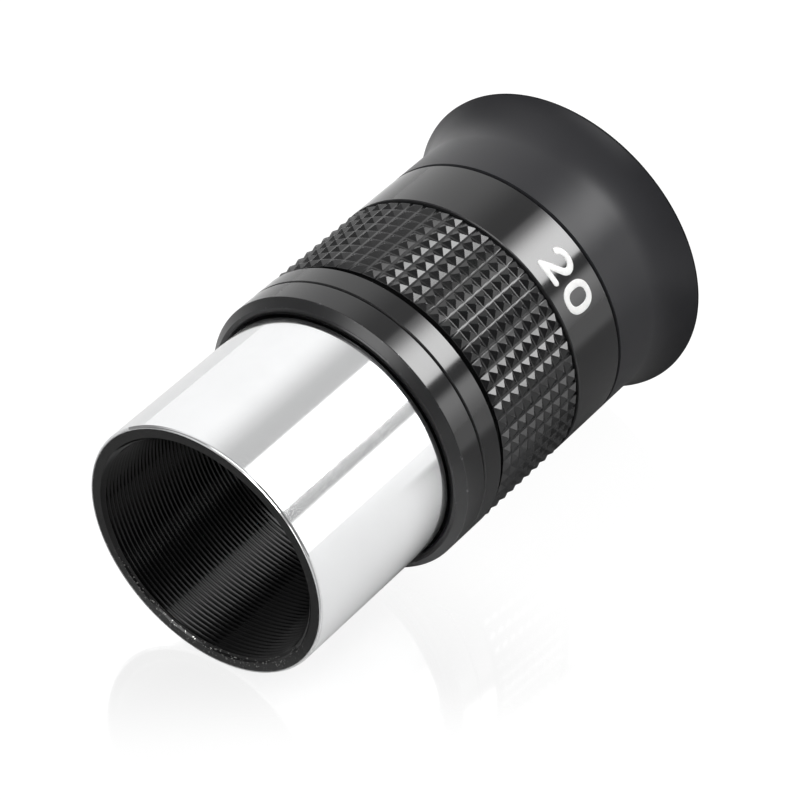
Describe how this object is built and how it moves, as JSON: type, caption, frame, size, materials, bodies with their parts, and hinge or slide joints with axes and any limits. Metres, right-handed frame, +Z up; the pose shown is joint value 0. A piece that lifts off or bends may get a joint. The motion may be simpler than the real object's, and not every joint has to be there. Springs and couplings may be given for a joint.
{
  "type": "telescope eyepiece",
  "caption": "Round push-in telescope eyepiece with a chrome nosepiece, black body, studded rubber grip and flared rubber eyecup.",
  "frame": {"origin": "centre of the nosepiece's mouth, where light comes in", "axes": "+Y along the optical axis from the mouth to the eyecup, +Z up, with the eyepiece lying on its side"},
  "size_m": [0.04, 0.0668, 0.04],
  "materials": {
    "chrome": "bright chrome plate, polished",
    "black_anodised": "black anodised, satin gloss",
    "black_bore": "black anodised, dull, finely ridged",
    "grip_rubber": "moulded rubber with small pyramids, satin",
    "cup_rubber": "soft moulded rubber, satin",
    "white_paint": "white paint fill",
    "coated_glass": "polished optical glass with a green anti-reflection coating",
    "steel": "blackened steel"
  },
  "bodies": {
    "eyepiece_body": {"chrome_sleeve": "chrome", "nosepiece_tube": "black_bore", "field_stop": "black_bore", "baffle_ring": "black_bore", "shoulder_ring": "black_anodised", "main_housing": "black_anodised", "grip_sleeve": "grip_rubber", "marked_ring": "black_anodised", "focal_length_mark": "white_paint", "eye_lens_cell": "black_anodised", "field_lens_flint": "coated_glass", "field_lens_crown": "coated_glass", "lower_spacer": "black_bore", "middle_lens": "coated_glass", "upper_spacer": "black_bore", "eye_lens_crown": "coated_glass", "eye_lens_flint": "coated_glass", "eye_lens_retainer": "black_bore", "lock_screws": "steel"},
    "folding_eyecup": {"eyecup": "cup_rubber"}
  },
  "joints": [
    {"name": "eyecup_fold", "type": "slide", "parent": "eyepiece_body", "child": "folding_eyecup", "axis": [0, -1, 0], "range_m": [0, 0.011], "deforming": ["eyecup"]}
  ]
}
